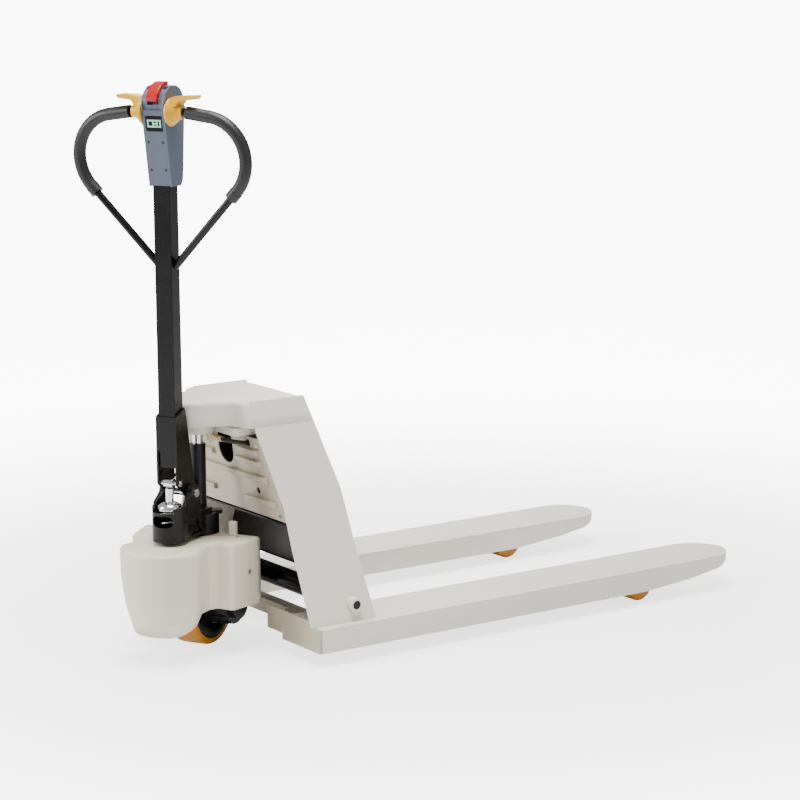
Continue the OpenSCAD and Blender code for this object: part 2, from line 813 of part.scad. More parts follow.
// The ribbed panel closes the front of the frame between the side plates.
panel_low = 305;
panel_high = 486;
// each rib: its height and where it starts from the middle
panel_ribs = [[340, 70], [393, 0], [428, 52], [453, 62]];
function panel_y(z) = 62 + (cover_low - z) * 0.16;

module front_panel() {
    color("#c4bdb0") at_axis() difference() {
        union() {
            intersection() {
                panel_sheet(panel_t);
                plate_wedge(face);
            }
            for (r = panel_ribs) {
                x1 = plate_x(r[0] + 8) - plate_skin - 14;
                rib(r[0], r[1], x1, 4);
                mirror([1, 0, 0]) rib(r[0], r[1], x1, 4);
            }
        }
        // clearance for the lift cylinder and the sight hole
        translate([0, 0, 440]) slab(-32, 32, 0, 120, 0, 80);
        translate([0, 120, 440]) rotate([90, 0, 0]) cylinder(r = 32, h = 120);
        translate([118, 120, 362]) rotate([90, 0, 0]) cylinder(r = 8, h = 120);
        translate([lead[6][0], 120, lead[6][2] + 1]) rotate([90, 0, 0]) cylinder(r = 9, h = 120);
    }
}

module panel_sheet(t) {
    plate_yz([[panel_y(panel_low), panel_low], [panel_y(panel_high), panel_high],
              [panel_y(panel_high) + t, panel_high], [panel_y(panel_low) + t, panel_low]],
             -300, 300);
}

// All that lies between the two leaning plates, drawn back by t.
module plate_wedge(t) {
    low = plate_x(fork_top) - plate_skin - t;
    high = head_half - plate_skin - t;
    translate([0, 300, 0]) rotate([90, 0, 0]) linear_extrude(height = 400) polygon([
        [low, fork_top], [high, head_top], [-high, head_top], [-low, fork_top]]);
}

module rib(z, x0, x1, h) {
    plate_yz([[panel_y(z - 8) + 1, z - 8], [panel_y(z - 5) - h, z - 5],
              [panel_y(z + 5) - h, z + 5], [panel_y(z + 8) + 1, z + 8]], x0, x1);
}

module panel_screws() {
    color("silver") at_axis() both_sides()
        for (z = [318, 470]) translate([plate_x(z) - plate_skin - 14, panel_y(z + 5), z])
            rotate([90, 0, 0]) cylinder(r = 5, h = 3);
}

// The heel member closes the front of the forks and ties them together. It
// steps back in the middle, where the drive unit swings as it is steered.
module heel_member() {
    in_x = fork_span / 2 - fork_w;
    low = fork_bot + 14;
    beam_y = sweep_r + 4;
    color("#cfcabf") at_axis() {
        both_sides() {
            slab(sweep_x, in_x, heel_gap - 6, heel_gap, low, fork_top);
            slab(in_x, fork_span / 2, heel_gap - 6, heel_gap, fork_bot, fork_top);
            slab(sweep_x, plate_x(98) - plate_skin - face, heel_gap - 6, heel_gap, fork_top, 98);
            slab(sweep_x, sweep_x + 6, heel_gap, beam_y + 30, low, 80);
        }
        difference() {
            slab(-in_x, in_x, beam_y, beam_y + 30, low, 80);
            slab(-in_x + 4, in_x - 4, beam_y + 4, beam_y + 26, low + 4, 76);
        }
    }
}

module rear_brace() {
    color("#55524d") at_axis() intersection() {
        slab(-300, 300, shaft_y + tube_r + 6, shaft_y + tube_r + 14, 150, 288);
        plate_wedge(0);
    }
}

module shaft_bosses() {
    color("#e0ddd6") at_axis() both_sides() difference() {
        translate([boss_x, shaft_y, shaft_z]) rotate([0, 90, 0])
            cylinder(d = shaft_d + 12, h = foot_x + 4 - boss_x);
        translate([boss_x - 1, shaft_y, shaft_z]) rotate([0, 90, 0])
            cylinder(d = shaft_d, h = foot_x + 6 - boss_x);
    }
}

module crank_shaft() {
    color("#2b2b2d") at_axis() translate([0, shaft_y, shaft_z]) bar_x(shaft_d / 2, 2 * foot_x + 4);
}

module battery_tray() {
    color("#3c3c3e") at_axis() intersection() {
        plate_wedge(0);
        union() {
            slab(-300, 300, 112, 236, 290, 294);
            slab(-300, 300, 232, 236, 294, 330);
        }
    }
}

module battery_pack() {
    color("#28282a") at_axis() {
        slab(-118, 118, 116, 230, 294, 470);
        slab(-60, 60, 160, 176, 470, 486);
    }
}

// The battery lead's gland on the head block and the lead behind the panel.
gland_at = [26, 26, 478];
gland_len = 40;
lead = [[66, 26, 478], [76, 26, 478], [88, 29, 478], [98, 38, 476], [103, 50, 474],
        [104, 62, 472], [104, 74, 470], [103, 86, 464], [100, 96, 454], [97, 102, 444],
        [96, 108, 438], [96, 116, 438]];

module cable_gland() {
    color("#c9a36a") at_axis() translate(gland_at) rotate([0, 90, 0]) {
        cylinder(r = 8, h = 14, $fn = 6);
        translate([0, 0, 14]) cylinder(r = 6, h = gland_len - 14);
    }
}

function unit(v) = v / norm(v);
function lead_tangent(i) = unit(lead[min(i + 1, len(lead) - 1)] - lead[max(i - 1, 0)]);

module battery_cable() {
    sides = 8;
    r = 5;
    n = len(lead);
    rings = [for (i = [0 : n - 1]) let (t = lead_tangent(i), a = unit(cross(t, [0.1, 0.2, 1])),
             b = cross(t, a)) [for (k = [0 : sides - 1])
             lead[i] + r * cos(k * 360 / sides) * a + r * sin(k * 360 / sides) * b]];
    color("#1e1e20") at_axis() polyhedron(
        points = [for (ring = rings) each ring],
        faces = concat(
            [[for (k = [sides - 1 : -1 : 0]) k]],
            [for (i = [0 : n - 2]) for (k = [0 : sides - 1])
                [i * sides + k, i * sides + (k + 1) % sides,
                 (i + 1) * sides + (k + 1) % sides, (i + 1) * sides + k]],
            [[for (k = [0 : sides - 1]) (n - 1) * sides + k]]));
}

module bracket_pins() {
    color("silver") at_axis() both_sides() translate([fork_x, bracket_y, bracket_z])
        bar_x(bracket_pin_d / 2, fork_w - 2);
}

// ---- crank and push rods ---------------------------------------------------

// The crank's own frame: its shaft at the origin, its arm along -Y.
module on_crank() {
    at_axis() translate([0, shaft_y, shaft_z]) rotate([-crank_rest, 0, 0]) children();
}

module crank() {
    yoke_x = spigot_r + 18;
    slide = crank_reach - shaft_y;
    eye = trunnion_d / 2 + 1;
    color("#4a4846") difference() {
        union() {
            on_crank() {
                bar_x(tube_r, 2 * (fork_x + lever_in));
                slab(-20, 20, -150, -tube_r + 6, -14, 14);
                slab(-yoke_x - 14, yoke_x + 14, -150, -120, -14, 14);
                both_sides() slab(yoke_x, yoke_x + 14, -crank_reach - 16, -130, -14, 14);
            }
            on_lever() both_sides() for (s = [-1, 1])
                translate([fork_x + s * (lever_t / 2 + lever_in), 0, 0]) {
                    translate([-lever_t / 2, -14, -lever_len]) cube([lever_t, 28, lever_len]);
                    translate([0, 0, -lever_len]) bar_x(14, lever_t);
                    bar_x(tube_r + 4, lever_t);
                }
        }
        at_axis() translate([0, shaft_y, shaft_z]) bar_x(shaft_d / 2 + run, 900);
        on_lever() translate([0, 0, -lever_len]) bar_x(rod_pin_d / 2, 900);
        // the slotted eyes ride on the seat's trunnions
        on_crank() slab(-yoke_x - 20, yoke_x + 20, -crank_reach - eye,
                        -crank_reach + slide + eye, -eye, eye + 2.8);
    }
}

// The levers' frame: the crank shaft at the origin, the levers along -Z.
module on_lever() {
    at_axis() translate([0, shaft_y, shaft_z]) rotate([-crank_swing / 2, 0, 0]) children();
}

module lever_pins() {
    color("silver") at_axis() both_sides()
        translate([fork_x, lever_pin_y, rod_z]) bar_x(rod_pin_d / 2, 2 * lever_t + 24);
}

module push_rods() {
    color("#3a3a3c") at_axis() both_sides() translate([fork_x, 0, rod_z]) difference() {
        union() {
            translate([0, lever_pin_y, 0]) bar_x(12, 16);
            translate([0, lever_pin_y + 8, 0]) rotate([-90, 0, 0])
                cylinder(d = rod_d, h = yoke_pin_y - lever_pin_y - 40);
            slab(-14, 14, yoke_pin_y - 36, yoke_pin_y - 24, -7, 7);
            for (s = [-1, 1]) {
                slab(s * 11.5 - 2.5, s * 11.5 + 2.5, yoke_pin_y - 30, yoke_pin_y, -7, 7);
                translate([s * 11.5, yoke_pin_y, 0]) bar_x(7, 5);
            }
            translate([0, yoke_pin_y, 0]) bar_x(yoke_pin_d / 2, 24);
        }
        translate([0, lever_pin_y, 0]) bar_x(rod_pin_d / 2 + run, 20);
    }
}

// ---- roller brackets -------------------------------------------------------

module roller_brackets() {
    color("#dedad0") at_axis() both_sides() translate([fork_x, bracket_y, bracket_z])
        difference() {
            union() {
                bar_x(13, 2 * cheek_x + cheek_t);
                for (s = [-1, 1]) translate([s * cheek_x, 0, 0]) {
                    slab(-cheek_t / 2, cheek_t / 2, 0, bracket_len, -13, 13);
                    translate([0, bracket_len, 0]) bar_x(16, cheek_t);
                }
                rotate([bracket_swing / 2, 0, 0]) slab(-8, 8, -12, 12, 0, yoke_len + 9);
            }
            bar_x(bracket_pin_d / 2 + run, 200);
            translate([0, bracket_len, 0]) bar_x(axle_d / 2, 200);
            // the open fork that the push rod's cross pin works in
            rotate([bracket_swing / 2, 0, 0])
                slab(-10, 10, -yoke_pin_d / 2 - 2.6, yoke_pin_d / 2 + 2.6,
                     yoke_len - yoke_pin_d / 2 - 8, yoke_len + 20);
        }
}

module roller_axles() {
    color("silver") at_axis() both_sides() translate([fork_x, roller_y, axle_z])
        bar_x(axle_d / 2, 2 * cheek_x + cheek_t + 4);
}

module load_roller() {
    at_axis() translate([fork_x, roller_y, axle_z]) difference() {
        rotate([0, 90, 0]) rotate_extrude($fn = 64) polygon([
            [0, -roller_w / 2], [axle_z - 4, -roller_w / 2], [axle_z, -roller_w / 2 + 4],
            [axle_z, roller_w / 2 - 4], [axle_z - 4, roller_w / 2], [0, roller_w / 2]]);
        bar_x(axle_d / 2 + run, roller_w + 2);
    }
}

module right_load_roller() {
    color("goldenrod") load_roller();
}

module left_load_roller() {
    color("goldenrod") mirror([1, 0, 0]) load_roller();
}

bearing_seat();
thrust_bearing();
pump_casting();
lift_cylinder();
steer_spigot();
wheel_yoke();
drive_motor();
wheel_axle();
wheel_hub();
drive_tyre();
wheel_bearings();
drive_cover();
cover_lugs();
cover_screws();
pivot_pin();
pump_piston();
spring_cap();
pump_spring();
tiller_socket();
mast_tube();
roller_pin();
pump_roller();
handle_bars();
left_grip();
right_grip();
head_shell();
head_faceplate();
display();
head_screws();
belly_button();
horn_button();
speed_button();
throttle_shaft();
throttle_wings();
left_fork();
right_fork();
left_side_plate();
right_side_plate();
head_cover();
head_block();
lift_ram();
front_panel();
panel_screws();
heel_member();
rear_brace();
shaft_bosses();
crank_shaft();
battery_pack();
battery_tray();
cable_gland();
battery_cable();
bracket_pins();
crank();
lever_pins();
push_rods();
roller_brackets();
roller_axles();
left_load_roller();
right_load_roller();
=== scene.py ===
# A semi-electric pallet truck: a steered drive unit with a hand pump and a
# tiller, under a lifting frame with two forks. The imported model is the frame
# that every piece here is fitted to; pieces are drawn in millimetres.
import json
import math

import bmesh
import bpy
from mathutils import Matrix, Vector


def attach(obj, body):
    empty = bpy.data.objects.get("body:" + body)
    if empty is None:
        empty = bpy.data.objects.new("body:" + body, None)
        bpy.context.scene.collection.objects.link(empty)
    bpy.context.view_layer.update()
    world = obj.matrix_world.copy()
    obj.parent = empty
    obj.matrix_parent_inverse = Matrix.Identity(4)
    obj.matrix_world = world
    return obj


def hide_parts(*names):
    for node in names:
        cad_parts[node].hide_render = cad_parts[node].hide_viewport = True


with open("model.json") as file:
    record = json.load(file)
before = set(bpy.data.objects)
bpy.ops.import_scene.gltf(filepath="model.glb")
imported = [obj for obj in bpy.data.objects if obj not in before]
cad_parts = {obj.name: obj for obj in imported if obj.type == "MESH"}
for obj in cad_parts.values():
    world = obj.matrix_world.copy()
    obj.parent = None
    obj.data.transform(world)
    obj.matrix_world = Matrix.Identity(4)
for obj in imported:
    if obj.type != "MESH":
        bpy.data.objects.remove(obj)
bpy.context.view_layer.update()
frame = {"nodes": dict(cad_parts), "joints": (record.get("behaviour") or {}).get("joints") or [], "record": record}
joints = {joint["name"]: joint for joint in frame["joints"]}

# ---- Camera, floor and light -------------------------------------------------
# A long lens from the operator's right, a little above the forks. The truck
# stands on a plain pale floor between large soft lamps.
lens = 117.75
camera_place = Vector((5.0106, -3.4348, 1.6309))
turn, dip, roll = (math.radians(a) for a in (55.535, 10.556, -0.413))
ahead = Vector((-math.sin(turn) * math.cos(dip), math.cos(turn) * math.cos(dip), -math.sin(dip)))
level = Vector((math.cos(turn), math.sin(turn), 0))
right = level * math.cos(roll) + level.cross(ahead) * math.sin(roll)
up = right.cross(ahead)
camera = bpy.data.objects.new("camera", bpy.data.cameras.new("camera"))
camera.data.lens = lens
camera.data.sensor_width = 36
camera.data.clip_end = 1200
camera.matrix_world = Matrix.Translation(camera_place) @ Matrix((right, up, -ahead)).transposed().to_4x4()
bpy.context.scene.collection.objects.link(camera)
bpy.context.scene.camera = camera


def lamp(name, place, target, size, power, colour=(1, 1, 1)):
    light = bpy.data.lights.new(name, "AREA")
    light.shape = "DISK"
    light.size = size
    light.energy = power
    light.color = colour
    holder = bpy.data.objects.new(name, light)
    aim = Vector(target) - Vector(place)
    holder.matrix_world = Matrix.Translation(place) @ aim.to_track_quat("-Z", "Y").to_matrix().to_4x4()
    bpy.context.scene.collection.objects.link(holder)


lamp("overhead", (0.4, -0.6, 4.4), (0, -0.1, 0.2), 2.4, 290)
lamp("front_left", (-1.6, -4.4, 2.4), (0, -0.4, 0.5), 1.8, 190)
lamp("side", (4.6, 1.2, 2.2), (0, 0, 0.4), 1.6, 25)
lamp("back", (-3.6, 2.8, 2.6), (0, 0, 0.5), 2.4, 60)

world = bpy.data.worlds.new("studio")
world.use_nodes = True
world.node_tree.nodes["Background"].inputs["Color"].default_value = (1, 1, 1, 1)
world.node_tree.nodes["Background"].inputs["Strength"].default_value = 0.5
bpy.context.scene.world = world


# A value inside a material's nodes, so that sums are written as sums.
class Value:
    def __init__(self, finish, socket):
        self.finish = finish
        self.socket = socket

    def math(self, operation, *others):
        return self.finish.add("ShaderNodeMath", {"operation": operation},
                               dict(enumerate((self,) + others)))

    def swapped(self, operation, other):
        return self.finish.add("ShaderNodeMath", {"operation": operation}, {0: other, 1: self})

    def __add__(self, other):
        return self.math("ADD", other)

    __radd__ = __add__

    def __mul__(self, other):
        return self.math("MULTIPLY", other)

    __rmul__ = __mul__

    def __sub__(self, other):
        return self.math("SUBTRACT", other)

    def __rsub__(self, other):
        return self.swapped("SUBTRACT", other)

    def between(self, low, high):
        """0 at low, 1 at high, smooth between them."""
        return self.finish.add("ShaderNodeMapRange", {"interpolation_type": "SMOOTHSTEP"},
                               {"Value": self, "From Min": low, "From Max": high})


def colour(red, green, blue):
    """A colour from its 0 to 255 screen values."""
    def linear(c):
        c = c / 255
        return c / 12.92 if c <= 0.04045 else ((c + 0.055) / 1.055) ** 2.4
    return (linear(red), linear(green), linear(blue), 1)


def shade(tint, amount):
    return tuple(min(1, c * amount) for c in tint[:3]) + (1,)


class Finish:
    """A material, and the one place where its nodes are made."""

    def __init__(self, name, **sockets):
        self.material = bpy.data.materials.new(name)
        self.material.use_nodes = True
        self.tree = self.material.node_tree
        self.shader = self.tree.nodes["Principled BSDF"]
        for socket, value in sockets.items():
            self.give(socket.replace("_", " "), value)
        self.place = self.add("ShaderNodeTexCoord", {}, {}, "Object")

    def add(self, kind, settings, values, out=0):
        node = self.tree.nodes.new(kind)
        for key, value in settings.items():
            setattr(node, key, value)
        for key, value in values.items():
            self.feed(node.inputs[key], value)
        return Value(self, node.outputs[out])

    def feed(self, socket, value):
        if isinstance(value, Value):
            self.tree.links.new(value.socket, socket)
        else:
            socket.default_value = value

    def give(self, socket, value):
        self.feed(self.shader.inputs[socket], value)

    def noise(self, scale, detail=2, stretch=(1, 1, 1)):
        place = self.add("ShaderNodeMapping", {}, {"Vector": self.place, "Scale": stretch})
        return self.add("ShaderNodeTexNoise", {}, {"Vector": place, "Scale": scale, "Detail": detail})

    def mix(self, factor, first, second):
        return self.add("ShaderNodeMix", {"data_type": "RGBA"}, {0: factor, 6: first, 7: second}, 2)

    def along(self, origin, direction):
        """How far the surface lies from the origin in that direction."""
        step = self.add("ShaderNodeVectorMath", {"operation": "SUBTRACT"}, {0: self.place, 1: tuple(origin)})
        return self.add("ShaderNodeVectorMath", {"operation": "DOT_PRODUCT"},
                        {0: step, 1: tuple(direction)}, "Value")

    def bump(self, height, depth, strength=1.0):
        """Relief of that depth in metres where height goes from 0 to 1."""
        self.give("Normal", self.add("ShaderNodeBump", {}, {
            "Height": height, "Distance": depth, "Strength": strength}))

    def edges(self, radius, samples=4):
        """1 on sharp edges and corners, 0 on flat ground."""
        soft = self.add("ShaderNodeBevel", {"samples": samples}, {"Radius": radius})
        own = self.add("ShaderNodeNewGeometry", {}, {}, "Normal")
        along = self.add("ShaderNodeVectorMath", {"operation": "DOT_PRODUCT"}, {0: soft, 1: own}, "Value")
        return 1 - along


# The floor runs out into a bright backdrop, which only the camera sees.
floor_paint = Finish("floor_paint", Roughness=0.6, Emission_Strength=9.2)
floor_paint.give("Base Color", floor_paint.mix(
    floor_paint.noise(1.5), (0.92, 0.92, 0.92, 1), (0.95, 0.95, 0.95, 1)))
away = floor_paint.add("ShaderNodeVectorMath", {"operation": "LENGTH"}, {0: floor_paint.place}, "Value")
seen = floor_paint.add("ShaderNodeLightPath", {}, {}, "Is Camera Ray")
backdrop = floor_paint.mix(away.between(0.7, 3.0), (0.24, 0.24, 0.24, 1), (1, 1, 1, 1))
floor_paint.give("Emission Color", floor_paint.mix(seen, (0, 0, 0, 1), backdrop))
sheet = bmesh.new()
bmesh.ops.create_grid(sheet, x_segments=2, y_segments=2, size=400)
floor_mesh = bpy.data.meshes.new("floor")
sheet.to_mesh(floor_mesh)
floor_mesh.materials.append(floor_paint.material)
floor = bpy.data.objects.new("floor", floor_mesh)
bpy.context.scene.collection.objects.link(floor)

body_of = {node: body for body, nodes in frame["record"]["behaviour"]["bodies"].items() for node in nodes}

# ---- Where the drive unit stands ---------------------------------------------
# Its own frame has the steering axis as its origin, +X along the wheel's axle
# and -Y towards the operator, turned by the steering angle at rest.
axis_place = Vector(joints["steer"]["pos_m"])
axle = Vector(joints["tiller_tilt"]["axis"])
mm = Matrix.Scale(0.001, 4)
at_frame = Matrix.Translation((0, axis_place.y, 0)) @ mm
steered = Matrix.Rotation(math.atan2(axle.y, axle.x), 4, "Z")
at_drive = Matrix.Translation((0, axis_place.y, 0)) @ steered @ mm


def span(node, place):
    """A node's lowest and highest corners, in millimetres of a placing's own frame."""
    back = place.inverted()
    points = [back @ v.co for v in frame["nodes"][node].data.vertices]
    return (Vector([min(p[i] for p in points) for i in range(3)]),
            Vector([max(p[i] for p in points) for i in range(3)]))


def finished(name, bm, finish, nodes, place, smooth=40, bevel=0.0, segments=3, wall=0.0):
    """Turns a bmesh drawn in a placing's millimetres into a piece for those nodes."""
    bmesh.ops.remove_doubles(bm, verts=bm.verts, dist=0.001)
    bmesh.ops.recalc_face_normals(bm, faces=bm.faces)
    bm.transform(place)
    mesh = bpy.data.meshes.new(name)
    bm.to_mesh(mesh)
    bm.free()
    for face in mesh.polygons:
        face.use_smooth = True
    mesh.set_sharp_from_angle(angle=math.radians(smooth))
    mesh.materials.append(finish.material)
    piece = bpy.data.objects.new(name, mesh)
    bpy.context.scene.collection.objects.link(piece)
    if wall:
        shell = piece.modifiers.new("wall", "SOLIDIFY")
        shell.thickness = wall * 0.001
        shell.offset = -1
    if bevel:
        soften(piece, bevel, segments)
    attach(piece, body_of[nodes[0]])
    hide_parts(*nodes)
    return piece


def soften(piece, width, segments=3):
    """Rounds the edges that turn by more than 34 degrees."""
    bevel = piece.modifiers.new("edges", "BEVEL")
    bevel.width = width * 0.001
    bevel.segments = segments
    bevel.limit_method = "ANGLE"
    bevel.angle_limit = math.radians(34)
    bevel.harden_normals = True


def softened(node, width, finish, segments=3):
    """A copy of a CAD node with its flats joined and its edges rounded."""
    bm = bmesh.new()
    bm.from_mesh(frame["nodes"][node].data)
    bmesh.ops.remove_doubles(bm, verts=bm.verts, dist=2e-5)
    bmesh.ops.dissolve_limit(bm, angle_limit=math.radians(0.6), verts=bm.verts, edges=bm.edges)
    bm.transform(mm.inverted())
    return finished(node + "_body", bm, finish, [node], mm, 40, width, segments)


def plain(finish, *nodes):
    """CAD nodes whose shape is right as it is."""
    for node in nodes:
        mesh = frame["nodes"][node].data
        mesh.materials.clear()
        mesh.materials.append(finish.material)
        for face in mesh.polygons:
            face.use_smooth = True
        mesh.set_sharp_from_angle(angle=math.radians(35))

# ---- Drive unit: seat, yoke, motor and wheel ---------------------------------
# The seat is a forged ring with two trunnions that the crank's eyes ride on.
# Below it a welded yoke carries the hub motor and the urethane drive wheel.


def worn_black(name, tint, rough, depth, grain, wear=0.5):
    """Black enamel over iron, rubbed thin and greyer along its edges."""
    finish = Finish(name, Specular_IOR_Level=0.3)
    rub = (finish.edges(0.002).between(0.02, 0.3) * finish.noise(90, 3).between(0.42, 0.66)) * wear
    cloud = finish.noise(16, 4)
    body = finish.mix(cloud.between(0.3, 0.7), shade(tint, 0.8), shade(tint, 1.25))
    finish.give("Base Color", finish.mix(rub, body, colour(120, 118, 114)))
    finish.give("Roughness", rough + (cloud - 0.5) * 0.16 - rub * 0.1)
    finish.give("Metallic", rub * 0.8)
    finish.bump(finish.noise(grain, 3), depth, 0.9)
    return finish


def metal(name, tint, rough, streak=(1, 1, 1), depth=0.00001):
    """Bare metal with fine marks from turning and handling."""
    finish = Finish(name, Metallic=1.0)
    marks = finish.noise(400, 3, streak)
    finish.give("Base Color", finish.mix(finish.noise(25, 3), shade(tint, 0.9), shade(tint, 1.06)))
    finish.give("Roughness", rough + (marks - 0.5) * rough * 0.7)
    finish.bump(marks, depth, 0.5)
    return finish


casting_black = worn_black("black_casting", colour(13, 13, 14), 0.4, 0.00025, 420)
steel_black = worn_black("black_enamel", colour(5, 5, 6), 0.3, 0.00006, 700, 0.3)
motor_black = worn_black("motor_black", colour(18, 17, 22), 0.38, 0.0001, 500)
zinc = metal("zinc_plate", (0.68, 0.69, 0.70, 1), 0.28)

softened("bearing_seat", 1.5, casting_black)
softened("wheel_yoke", 1.5, steel_black)
softened("drive_motor", 1.6, motor_black)
softened("wheel_hub", 1.5, casting_black)
plain(zinc, "thrust_bearing", "steer_spigot", "wheel_axle", "wheel_bearings")

# ---- Drive tyre --------------------------------------------------------------
# A band of urethane cast on the hub, with rounded shoulders and straight walls.


def moulded(name, tint, rough=0.42, depth=0.00005, grain=1400, coat=0.0):
    """Moulded plastic with a fine spark-eroded grain."""
    finish = Finish(name, Coat_Weight=coat, Coat_Roughness=0.1)
    finish.give("Base Color", finish.mix(finish.noise(9, 4), shade(tint, 0.95), shade(tint, 1.04)))
    finish.give("Roughness", rough + (finish.noise(60, 4) - 0.5) * 0.18)
    finish.bump(finish.noise(grain, 2), depth, 0.7)
    return finish


def turned(bm, profile, centre, axis=(1, 0, 0), steps=64):
    """A turned part: profile (distance along the axis, radius) spun about it."""
    axis = Vector(axis)
    out = axis.orthogonal().normalized()
    verts = [bm.verts.new(Vector(centre) + axis * a + out * r) for a, r in profile]
    edges = [bm.edges.new(pair) for pair in zip(verts, verts[1:])]
    bmesh.ops.spin(bm, geom=verts + edges, cent=centre, axis=axis, angle=2 * math.pi,
                   steps=steps, use_merge=True)
    bmesh.ops.remove_doubles(bm, verts=bm.verts, dist=0.001)


urethane = moulded("tyre_urethane", colour(206, 132, 0), 0.34, 0.00008, 500, 0.2)
wheel_middle = at_drive.inverted() @ Vector(joints["drive_wheel_spin"]["pos_m"])
tyre_low, tyre_high = span("drive_tyre", at_drive)
tyre_r = tyre_high.z - wheel_middle.z
tyre_in = tyre_r - 14
half = tyre_high.x
tyre = bmesh.new()
shoulder = [(half - 9 * (1 - math.sin(a)), tyre_r - 7 * (1 - math.cos(a)))
            for a in (math.radians(15 * k) for k in range(7))]
profile = [(x, r) for x, r in shoulder] + [(half, tyre_in)]
profile = profile + [(-x, r) for x, r in reversed(profile)]
turned(tyre, profile + profile[:1], wheel_middle, steps=96)
finished("drive_tyre_tread", tyre, urethane, ["drive_tyre"], at_drive)

# ---- Drive cover -------------------------------------------------------------
# One vacuum-formed shell over the wheel and motor: a round nose, a waist at
# each side, then a box over the motor. It is open below and at the back, and
# notched at the top where the pump casting turns with it.


def rounded(corners, steps=6):
    """An outline from corners (x, y, radius): each corner becomes an arc."""
    points = []
    for i, (x, y, r) in enumerate(corners):
        here = Vector((x, y))
        if not r:
            points.append(here)
            continue
        to = (Vector(corners[i - 1][:2]) - here).normalized()
        on = (Vector(corners[(i + 1) % len(corners)][:2]) - here).normalized()
        half = to.angle(on) / 2
        middle = here + (to + on).normalized() * (r / math.sin(half))
        first = here + to * (r / math.tan(half)) - middle
        turn_by = first.angle_signed(here + on * (r / math.tan(half)) - middle)
        for k in range(steps + 1):
            points.append(middle + Matrix.Rotation(-turn_by * k / steps, 2) @ first)
    return points


def prism(bm, points, low, high):
    """A closed prism on an outline of points (x, y), from one height to another."""
    base = bm.faces.new([bm.verts.new((p[0], p[1], low)) for p in points])
    grown = bmesh.ops.extrude_face_region(bm, geom=[base], use_keep_orig=True)["geom"]
    raised = [g for g in grown if isinstance(g, bmesh.types.BMVert)]
    bmesh.ops.translate(bm, vec=(0, 0, high - low), verts=raised)


cover_cream = moulded("cover_cream_plastic", colour(226, 217, 199), 0.38, 0.00006, 900)
cover_low, cover_high = span("drive_cover", at_drive)
nose_r = 103
nose_y = cover_low.y + nose_r
back_y = cover_high.y
box_x = cover_high.x
notch_r = 45.3


def cover_side(s):
    """Half of the cover's outline, from its back edge round to the nose."""
    return [(s * box_x, back_y, 0), (s * (box_x - 2), back_y - 12, 10), (s * (box_x - 20), -83, 13),
            (s * 88, -78, 9), (s * 77, -99, 12), (s * 86, -126, 14), (s * 98, -164, 34)]


nose = [(nose_r * math.sin(a), nose_y - nose_r * math.cos(a), 0)
        for a in (math.radians(d) for d in range(72, -73, -6))]
notch = [(notch_r * math.sin(a), notch_r * -math.cos(a), 0)
         for a in (math.radians(d) for d in range(-90, 91, 10))]
corners = (cover_side(1) + nose + list(reversed(cover_side(-1)))
           + [(-notch_r, back_y, 0)] + notch + [(notch_r, back_y, 0)])
cover = bmesh.new()
plan = rounded(corners, 5)
prism(cover, plan, 0, cover_high.z)
open_faces = [f for f in cover.faces if f.calc_center_median().z < 1
              or (abs(f.normal.z) < 0.5 and (f.calc_center_median().y > back_y - 0.6
                  or f.calc_center_median().xy.length < notch_r + 1))]
bmesh.ops.delete(cover, geom=open_faces, context="FACES")
rim = [e for e in cover.edges if len(e.link_faces) == 2
       and abs(e.verts[0].co.z - cover_high.z) < 0.1 and abs(e.verts[1].co.z - cover_high.z) < 0.1]
bmesh.ops.bevel(cover, geom=rim, offset=13, segments=6, profile=0.5, affect="EDGES",
                material=-1, clamp_overlap=True)


def cover_foot(y):
    """The lower edge: low under the nose, then up over the wheel."""
    t = min(1, max(0, (y - cover_low.y - 12) / 130))
    return cover_low.z + 42 * (t * t * (3 - 2 * t))


for vert in cover.verts:
    if vert.co.z < 1:
        vert.co.z = cover_foot(vert.co.y)
for z in (96, 116, 140, 168, 200):
    bmesh.ops.bisect_plane(cover, geom=cover.verts[:] + cover.edges[:] + cover.faces[:],
                           plane_co=(0, 0, z), plane_no=(0, 0, 1), dist=0.01)
bowl_y = nose_y + 30
bowl_high = cover_high.z - 20
for vert in cover.verts:
    # the nose draws in like a bowl towards its foot
    low = min(1, max(0, (bowl_high - vert.co.z) / (bowl_high - cover_low.z)))
    if vert.co.y < bowl_y:
        out = Vector((vert.co.x, vert.co.y - bowl_y, 0))
        vert.co -= out * (0.24 * low ** 2.2)
finished("drive_cover_shell", cover, cover_cream, ["drive_cover"], at_drive, 50, wall=3.6)
softened("cover_lugs", 2.5, cover_cream)
softened("cover_screws", 0.6, zinc)

# ---- Pump casting ------------------------------------------------------------
# A black iron casting: the pump's cup in front, ears for the tiller's pivot
# above it, and the socket of the lift cylinder behind.
chrome = metal("hard_chrome", (0.86, 0.87, 0.88, 1), 0.09, (1, 1, 8))
softened("pump_casting", 2.2, casting_black)
softened("lift_cylinder", 1.0, steel_black)
softened("pivot_pin", 1.2, zinc)
softened("roller_pin", 0.8, zinc)
softened("pump_roller", 1.0, chrome)
softened("pump_piston", 0.6, chrome)
softened("spring_cap", 0.8, chrome)
plain(zinc, "pump_spring")

# ---- Tiller ------------------------------------------------------------------
# A square tube in a plate socket. The handle is one bent tube with rubber
# sleeves over its bends, welded to the tube below the control head.
grip_foam = moulded("grip_rubber", colour(22, 22, 23), 0.46, 0.00012, 1100)
softened("tiller_socket", 1.0, steel_black)
softened("mast_tube", 2.5, steel_black)
softened("handle_bars", 0.4, steel_black)
for hand in ("left", "right"):
    softened(hand + "_grip", 1.6, grip_foam)

